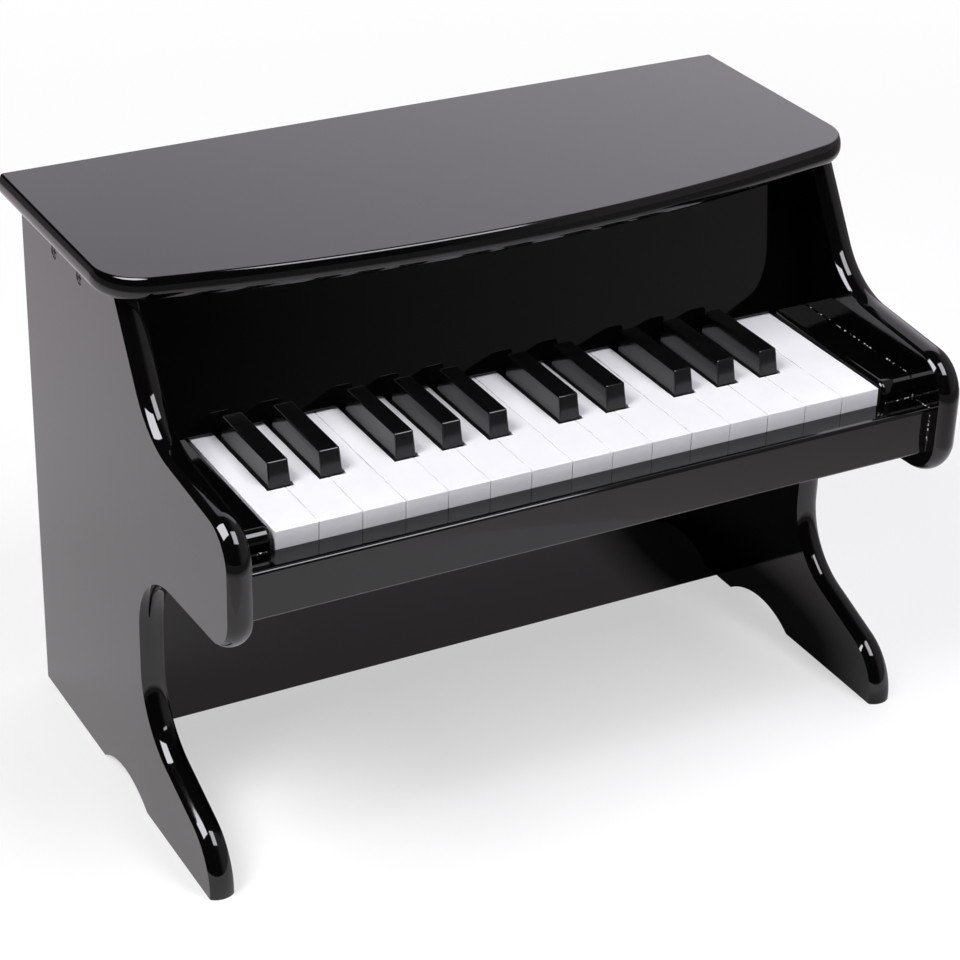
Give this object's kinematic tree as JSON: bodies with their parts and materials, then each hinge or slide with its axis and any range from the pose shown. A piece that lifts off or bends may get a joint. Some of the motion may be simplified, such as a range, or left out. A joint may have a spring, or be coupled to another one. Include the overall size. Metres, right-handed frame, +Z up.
{
  "type": "toy piano",
  "caption": "Black lacquered wooden toy upright piano on two scrolled side panels, with rocking white and black keys whose hammers strike tuned steel rods.",
  "frame": {"origin": "on the floor, in the middle of the piano's width and depth", "axes": "+X from bass to treble along the keyboard, +Y from the player to the back, +Z up"},
  "size_m": [0.3988, 0.2442, 0.279],
  "materials": {
    "black_lacquer": "black high-gloss lacquer on medium-density board",
    "bare_timber": "planed beech, uncoated",
    "plywood": "thin plywood, black stain",
    "felt": "pressed wool felt",
    "steel": "bright drawn steel",
    "cast_iron": "cast, sealed grey",
    "white_key_paint": "white satin paint on wood",
    "black_key_paint": "black gloss paint on wood"
  },
  "bodies": {
    "case": {"side_panel_left": "black_lacquer", "side_panel_right": "black_lacquer", "top_board": "black_lacquer", "fall_board": "black_lacquer", "knee_board": "black_lacquer", "key_slip": "black_lacquer", "cheek_block_left": "black_lacquer", "cheek_block_right": "black_lacquer", "key_bed": "black_lacquer", "balance_rail": "bare_timber", "back_rail": "bare_timber", "back_cleat_left": "bare_timber", "back_cleat_right": "bare_timber", "top_cleat_left": "bare_timber", "top_cleat_right": "bare_timber", "back_panel": "plywood", "white_key_felt": "felt", "black_key_felt": "felt", "back_felt": "felt", "balance_pins": "steel", "front_guide_pins": "steel", "tone_rods": "steel", "tone_block_screws": "steel", "back_panel_screws": "steel", "top_board_screws": "steel", "top_cleat_screws": "steel", "tone_block": "cast_iron"},
    "white_key_01": {"white_key_01": "white_key_paint"},
    "black_key_01": {"black_key_01": "black_key_paint"},
    "white_key_02": {"white_key_02": "white_key_paint"},
    "black_key_02": {"black_key_02": "black_key_paint"},
    "white_key_03": {"white_key_03": "white_key_paint"},
    "white_key_04": {"white_key_04": "white_key_paint"},
    "black_key_03": {"black_key_03": "black_key_paint"},
    "white_key_05": {"white_key_05": "white_key_paint"},
    "black_key_04": {"black_key_04": "black_key_paint"},
    "white_key_06": {"white_key_06": "white_key_paint"},
    "black_key_05": {"black_key_05": "black_key_paint"},
    "white_key_07": {"white_key_07": "white_key_paint"},
    "white_key_08": {"white_key_08": "white_key_paint"},
    "black_key_06": {"black_key_06": "black_key_paint"},
    "white_key_09": {"white_key_09": "white_key_paint"},
    "black_key_07": {"black_key_07": "black_key_paint"},
    "white_key_10": {"white_key_10": "white_key_paint"},
    "white_key_11": {"white_key_11": "white_key_paint"},
    "black_key_08": {"black_key_08": "black_key_paint"},
    "white_key_12": {"white_key_12": "white_key_paint"},
    "black_key_09": {"black_key_09": "black_key_paint"},
    "white_key_13": {"white_key_13": "white_key_paint"},
    "black_key_10": {"black_key_10": "black_key_paint"},
    "white_key_14": {"white_key_14": "white_key_paint"},
    "white_key_15": {"white_key_15": "white_key_paint"}
  },
  "joints": [
    {"name": "white_key_01_rock", "type": "hinge", "parent": "case", "child": "white_key_01", "pos_m": [0, -0.0006, 0.1751], "axis": [1, 0, 0], "range_deg": [0, 3.79], "stiffness_Nm_per_rad": 0.25, "springref_deg": -6.88},
    {"name": "black_key_01_rock", "type": "hinge", "parent": "case", "child": "black_key_01", "pos_m": [0, -0.0006, 0.1751], "axis": [1, 0, 0], "range_deg": [0, 3.79], "stiffness_Nm_per_rad": 0.25, "springref_deg": -6.88},
    {"name": "white_key_02_rock", "type": "hinge", "parent": "case", "child": "white_key_02", "pos_m": [0, -0.0006, 0.1751], "axis": [1, 0, 0], "range_deg": [0, 3.79], "stiffness_Nm_per_rad": 0.25, "springref_deg": -6.88},
    {"name": "black_key_02_rock", "type": "hinge", "parent": "case", "child": "black_key_02", "pos_m": [0, -0.0006, 0.1751], "axis": [1, 0, 0], "range_deg": [0, 3.79], "stiffness_Nm_per_rad": 0.25, "springref_deg": -6.88},
    {"name": "white_key_03_rock", "type": "hinge", "parent": "case", "child": "white_key_03", "pos_m": [0, -0.0006, 0.1751], "axis": [1, 0, 0], "range_deg": [0, 3.79], "stiffness_Nm_per_rad": 0.25, "springref_deg": -6.88},
    {"name": "white_key_04_rock", "type": "hinge", "parent": "case", "child": "white_key_04", "pos_m": [0, -0.0006, 0.1751], "axis": [1, 0, 0], "range_deg": [0, 3.79], "stiffness_Nm_per_rad": 0.25, "springref_deg": -6.88},
    {"name": "black_key_03_rock", "type": "hinge", "parent": "case", "child": "black_key_03", "pos_m": [0, -0.0006, 0.1751], "axis": [1, 0, 0], "range_deg": [0, 3.79], "stiffness_Nm_per_rad": 0.25, "springref_deg": -6.88},
    {"name": "white_key_05_rock", "type": "hinge", "parent": "case", "child": "white_key_05", "pos_m": [0, -0.0006, 0.1751], "axis": [1, 0, 0], "range_deg": [0, 3.79], "stiffness_Nm_per_rad": 0.25, "springref_deg": -6.88},
    {"name": "black_key_04_rock", "type": "hinge", "parent": "case", "child": "black_key_04", "pos_m": [0, -0.0006, 0.1751], "axis": [1, 0, 0], "range_deg": [0, 3.79], "stiffness_Nm_per_rad": 0.25, "springref_deg": -6.88},
    {"name": "white_key_06_rock", "type": "hinge", "parent": "case", "child": "white_key_06", "pos_m": [0, -0.0006, 0.1751], "axis": [1, 0, 0], "range_deg": [0, 3.79], "stiffness_Nm_per_rad": 0.25, "springref_deg": -6.88},
    {"name": "black_key_05_rock", "type": "hinge", "parent": "case", "child": "black_key_05", "pos_m": [0, -0.0006, 0.1751], "axis": [1, 0, 0], "range_deg": [0, 3.79], "stiffness_Nm_per_rad": 0.25, "springref_deg": -6.88},
    {"name": "white_key_07_rock", "type": "hinge", "parent": "case", "child": "white_key_07", "pos_m": [0, -0.0006, 0.1751], "axis": [1, 0, 0], "range_deg": [0, 3.79], "stiffness_Nm_per_rad": 0.25, "springref_deg": -6.88},
    {"name": "white_key_08_rock", "type": "hinge", "parent": "case", "child": "white_key_08", "pos_m": [0, -0.0006, 0.1751], "axis": [1, 0, 0], "range_deg": [0, 3.79], "stiffness_Nm_per_rad": 0.25, "springref_deg": -6.88},
    {"name": "black_key_06_rock", "type": "hinge", "parent": "case", "child": "black_key_06", "pos_m": [0, -0.0006, 0.1751], "axis": [1, 0, 0], "range_deg": [0, 3.79], "stiffness_Nm_per_rad": 0.25, "springref_deg": -6.88},
    {"name": "white_key_09_rock", "type": "hinge", "parent": "case", "child": "white_key_09", "pos_m": [0, -0.0006, 0.1751], "axis": [1, 0, 0], "range_deg": [0, 3.79], "stiffness_Nm_per_rad": 0.25, "springref_deg": -6.88},
    {"name": "black_key_07_rock", "type": "hinge", "parent": "case", "child": "black_key_07", "pos_m": [0, -0.0006, 0.1751], "axis": [1, 0, 0], "range_deg": [0, 3.79], "stiffness_Nm_per_rad": 0.25, "springref_deg": -6.88},
    {"name": "white_key_10_rock", "type": "hinge", "parent": "case", "child": "white_key_10", "pos_m": [0, -0.0006, 0.1751], "axis": [1, 0, 0], "range_deg": [0, 3.79], "stiffness_Nm_per_rad": 0.25, "springref_deg": -6.88},
    {"name": "white_key_11_rock", "type": "hinge", "parent": "case", "child": "white_key_11", "pos_m": [0, -0.0006, 0.1751], "axis": [1, 0, 0], "range_deg": [0, 3.79], "stiffness_Nm_per_rad": 0.25, "springref_deg": -6.88},
    {"name": "black_key_08_rock", "type": "hinge", "parent": "case", "child": "black_key_08", "pos_m": [0, -0.0006, 0.1751], "axis": [1, 0, 0], "range_deg": [0, 3.79], "stiffness_Nm_per_rad": 0.25, "springref_deg": -6.88},
    {"name": "white_key_12_rock", "type": "hinge", "parent": "case", "child": "white_key_12", "pos_m": [0, -0.0006, 0.1751], "axis": [1, 0, 0], "range_deg": [0, 3.79], "stiffness_Nm_per_rad": 0.25, "springref_deg": -6.88},
    {"name": "black_key_09_rock", "type": "hinge", "parent": "case", "child": "black_key_09", "pos_m": [0, -0.0006, 0.1751], "axis": [1, 0, 0], "range_deg": [0, 3.79], "stiffness_Nm_per_rad": 0.25, "springref_deg": -6.88},
    {"name": "white_key_13_rock", "type": "hinge", "parent": "case", "child": "white_key_13", "pos_m": [0, -0.0006, 0.1751], "axis": [1, 0, 0], "range_deg": [0, 3.79], "stiffness_Nm_per_rad": 0.25, "springref_deg": -6.88},
    {"name": "black_key_10_rock", "type": "hinge", "parent": "case", "child": "black_key_10", "pos_m": [0, -0.0006, 0.1751], "axis": [1, 0, 0], "range_deg": [0, 3.79], "stiffness_Nm_per_rad": 0.25, "springref_deg": -6.88},
    {"name": "white_key_14_rock", "type": "hinge", "parent": "case", "child": "white_key_14", "pos_m": [0, -0.0006, 0.1751], "axis": [1, 0, 0], "range_deg": [0, 3.79], "stiffness_Nm_per_rad": 0.25, "springref_deg": -6.88},
    {"name": "white_key_15_rock", "type": "hinge", "parent": "case", "child": "white_key_15", "pos_m": [0, -0.0006, 0.1751], "axis": [1, 0, 0], "range_deg": [0, 3.79], "stiffness_Nm_per_rad": 0.25, "springref_deg": -6.88}
  ]
}
